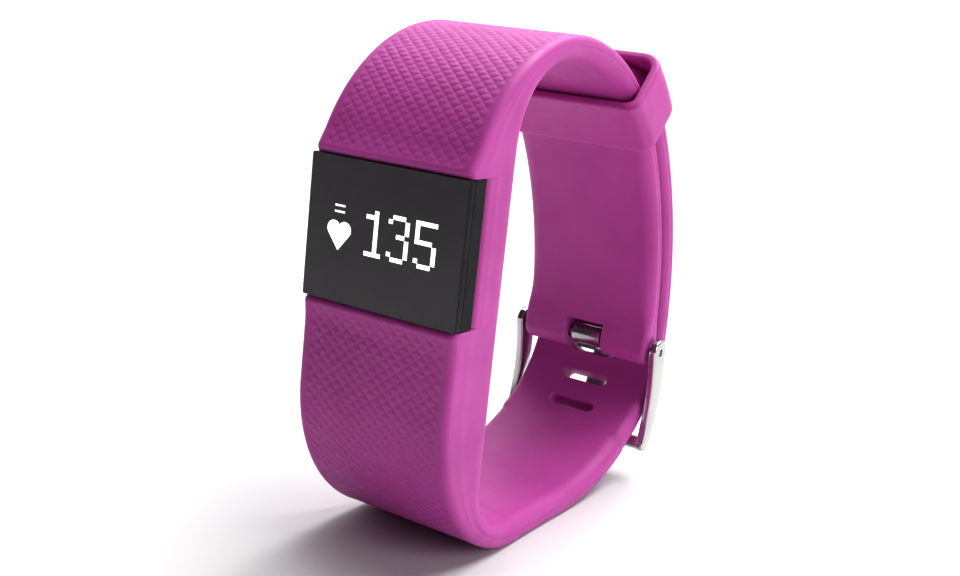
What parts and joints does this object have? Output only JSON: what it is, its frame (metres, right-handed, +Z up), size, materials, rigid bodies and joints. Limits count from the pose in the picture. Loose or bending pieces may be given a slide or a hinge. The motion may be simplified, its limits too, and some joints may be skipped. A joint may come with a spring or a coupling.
{
  "type": "wrist fitness tracker band",
  "caption": "Closed wrist activity tracker: black display module in a moulded silicone band with keeper loop, slotted tail and steel tongue buckle.",
  "frame": {"origin": "middle of the bottom of the whole part, on the flat underside of the lower strap", "axes": "+X along the wearer's arm, -Y out of the display face, +Z up as the band stands closed"},
  "size_m": [0.022, 0.0558, 0.0586],
  "materials": {
    "silicone": "matte moulded silicone",
    "polished_steel": "polished",
    "spring_steel": "drawn wire",
    "lens_black": "gloss",
    "case_black": "satin",
    "seal": "matte",
    "display_glass": "gloss",
    "ribbon": "satin",
    "board": "satin",
    "chip": "matte",
    "ceramic": "satin",
    "cell_wrap": "foil",
    "motor_can": "satin",
    "led_green": "clear",
    "sensor_dark": "gloss",
    "gold": "plated"
  },
  "bodies": {
    "band": {"band_body": "silicone", "spring_bar_tube": "polished_steel", "spring_bar_spring": "spring_steel"},
    "keeper": {"keeper_loop": "silicone"},
    "buckle": {"buckle_frame": "polished_steel"},
    "tongue": {"buckle_tongue": "polished_steel"},
    "tip_left": {"spring_bar_tip_left": "polished_steel"},
    "tip_right": {"spring_bar_tip_right": "polished_steel"},
    "tracker": {"display_lens": "lens_black", "front_case": "case_black", "case_gasket": "seal", "rear_case": "case_black", "oled_panel": "display_glass", "oled_ribbon": "ribbon", "main_board": "board", "processor_chip": "chip", "motion_sensor_chip": "chip", "antenna_chip": "ceramic", "battery_cell": "cell_wrap", "vibration_motor": "motor_can", "optic_board": "board", "pulse_led_upper": "led_green", "pulse_led_lower": "led_green", "pulse_photodiode": "chip", "sensor_window": "sensor_dark", "charge_contact_left": "gold", "charge_contact_right": "gold"}
  },
  "joints": [
    {"name": "tracker_push_out", "type": "slide", "parent": "band", "child": "tracker", "axis": [0, -1, 0], "range_m": [0, 0.012]},
    {"name": "keeper_slide", "type": "hinge", "parent": "band", "child": "keeper", "pos_m": [0, -0.00747, 0.03208], "axis": [1, 0, 0], "range_deg": [0, 25]},
    {"name": "buckle_hinge", "type": "hinge", "parent": "band", "child": "buckle", "pos_m": [0, 0.02205, 0.01783], "axis": [1, 0, 0], "range_deg": [0, 4]},
    {"name": "tongue_hinge", "type": "hinge", "parent": "band", "child": "tongue", "pos_m": [0, 0.02205, 0.01783], "axis": [1, 0, 0], "range_deg": [0, 4]},
    {"name": "tip_left_press", "type": "slide", "parent": "band", "child": "tip_left", "axis": [1, 0, 0], "range_m": [0, 0.0008], "stiffness_N_per_m": 400},
    {"name": "tip_right_press", "type": "slide", "parent": "band", "child": "tip_right", "axis": [-1, 0, 0], "range_m": [0, 0.0008], "stiffness_N_per_m": 400}
  ],
  "couplings": [
    {"joint": "tongue_hinge", "follows": "buckle_hinge", "ratio": 1}
  ]
}
